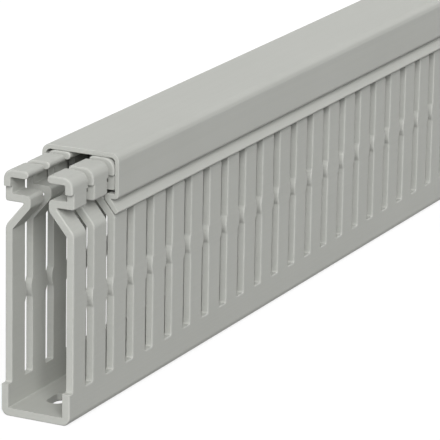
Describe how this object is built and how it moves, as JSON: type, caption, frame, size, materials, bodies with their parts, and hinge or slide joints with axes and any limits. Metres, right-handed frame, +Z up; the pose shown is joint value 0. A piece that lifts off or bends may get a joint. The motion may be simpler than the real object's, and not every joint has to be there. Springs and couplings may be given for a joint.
{
  "type": "slotted wire duct",
  "caption": "Slotted wiring duct with hooked fingers, cable grips in the slots and a clip-on cover, for leading wires inside control cabinets.",
  "frame": {"origin": "middle of the channel's flat base face", "axes": "+X across the duct, +Y along it away from the cut end where the heads stand open, +Z up from the base to the cover"},
  "size_m": [0.0258, 1.0265, 0.0763],
  "materials": {
    "channel": "smooth light stone grey rigid PVC",
    "cover": "smooth light stone grey rigid PVC"
  },
  "bodies": {
    "channel": {"channel": "channel"},
    "cover": {"cover": "cover"}
  },
  "joints": [
    {"name": "cover_slide", "type": "slide", "parent": "channel", "child": "cover", "axis": [0, 1, 0], "range_m": [-0.0265, 0.3]}
  ]
}
